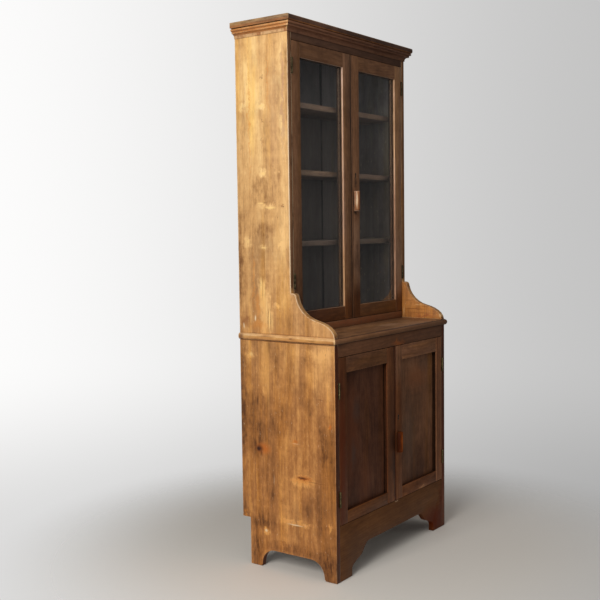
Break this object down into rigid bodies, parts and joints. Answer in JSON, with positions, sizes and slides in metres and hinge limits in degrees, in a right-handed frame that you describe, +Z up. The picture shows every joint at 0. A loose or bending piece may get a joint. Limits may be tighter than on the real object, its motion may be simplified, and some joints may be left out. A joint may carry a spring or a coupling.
{
  "type": "housekeepers cupboard",
  "caption": "Tall country-pine cupboard: glazed doors over shelves, a counter between curved side brackets, panelled doors below, moulded cornice and bracket feet.",
  "frame": {"origin": "on the floor, at the bottom centre of the bounding box", "axes": "+X to the right as one faces the cupboard, -Y out of the doors, +Z up"},
  "size_m": [0.872, 0.442, 2],
  "materials": {
    "side_pine": "waxed, worn",
    "front_pine": "stained and waxed",
    "panel_pine": "stained and waxed",
    "inside_pine": "bare, aged",
    "pull_wood": "polished by hands",
    "hinge_brass": "tarnished",
    "lock_iron": "dark, bare",
    "window_glass": "clear"
  },
  "bodies": {
    "case": {"back": "inside_pine", "bottom_board": "inside_pine", "cornice_front": "front_pine", "cornice_left": "side_pine", "cornice_right": "side_pine", "counter_board": "front_pine", "frieze_rail": "front_pine", "front_plinth": "front_pine", "lower_left_high_hinge_frame_leaf": "hinge_brass", "lower_left_low_hinge_frame_leaf": "hinge_brass", "lower_right_high_hinge_frame_leaf": "hinge_brass", "lower_right_low_hinge_frame_leaf": "hinge_brass", "lower_shelf": "inside_pine", "side_left": "side_pine", "side_right": "side_pine", "top_board": "side_pine", "top_rail": "front_pine", "upper_left_high_hinge_frame_leaf": "hinge_brass", "upper_left_low_hinge_frame_leaf": "hinge_brass", "upper_right_high_hinge_frame_leaf": "hinge_brass", "upper_right_low_hinge_frame_leaf": "hinge_brass", "upper_shelf_high": "inside_pine", "upper_shelf_low": "inside_pine", "upper_shelf_middle": "inside_pine", "upper_sill": "front_pine", "waist_bead_front": "front_pine", "waist_bead_left": "side_pine", "waist_bead_right": "side_pine"},
    "upper_left_door": {"upper_left_bottom_rail": "front_pine", "upper_left_high_hinge_door_leaf": "hinge_brass", "upper_left_hinge_stile": "front_pine", "upper_left_low_hinge_door_leaf": "hinge_brass", "upper_left_meeting_stile": "front_pine", "upper_left_pane": "window_glass", "upper_left_top_rail": "front_pine"},
    "upper_right_door": {"upper_pull": "pull_wood", "upper_right_bottom_rail": "front_pine", "upper_right_high_hinge_door_leaf": "hinge_brass", "upper_right_hinge_stile": "front_pine", "upper_right_low_hinge_door_leaf": "hinge_brass", "upper_right_meeting_stile": "front_pine", "upper_right_pane": "window_glass", "upper_right_top_rail": "front_pine"},
    "lower_left_door": {"lower_left_bottom_rail": "front_pine", "lower_left_high_hinge_door_leaf": "hinge_brass", "lower_left_hinge_stile": "front_pine", "lower_left_low_hinge_door_leaf": "hinge_brass", "lower_left_meeting_stile": "front_pine", "lower_left_panel": "panel_pine", "lower_left_top_rail": "front_pine"},
    "lower_right_door": {"lower_pull": "pull_wood", "lower_right_bottom_rail": "front_pine", "lower_right_high_hinge_door_leaf": "hinge_brass", "lower_right_hinge_stile": "front_pine", "lower_right_low_hinge_door_leaf": "hinge_brass", "lower_right_meeting_stile": "front_pine", "lower_right_panel": "panel_pine", "lower_right_top_rail": "front_pine"},
    "upper_lock_bolt": {"upper_lock_bolt": "lock_iron"},
    "lower_lock_bolt": {"lower_lock_bolt": "lock_iron"}
  },
  "joints": [
    {"name": "upper_left_door_hinge", "type": "hinge", "parent": "case", "child": "upper_left_door", "pos_m": [-0.385, -0.0205, 0], "axis": [0, 0, -1], "range_deg": [0, 90]},
    {"name": "upper_right_door_hinge", "type": "hinge", "parent": "case", "child": "upper_right_door", "pos_m": [0.385, -0.0205, 0], "axis": [0, 0, 1], "range_deg": [0, 90]},
    {"name": "lower_left_door_hinge", "type": "hinge", "parent": "case", "child": "lower_left_door", "pos_m": [-0.385, -0.2065, 0], "axis": [0, 0, -1], "range_deg": [0, 170]},
    {"name": "lower_right_door_hinge", "type": "hinge", "parent": "case", "child": "lower_right_door", "pos_m": [0.385, -0.2065, 0], "axis": [0, 0, 1], "range_deg": [0, 170]},
    {"name": "upper_lock_slide", "type": "slide", "parent": "upper_right_door", "child": "upper_lock_bolt", "axis": [-1, 0, 0], "range_m": [0, 0.008]},
    {"name": "lower_lock_slide", "type": "slide", "parent": "lower_right_door", "child": "lower_lock_bolt", "axis": [-1, 0, 0], "range_m": [0, 0.008]}
  ]
}
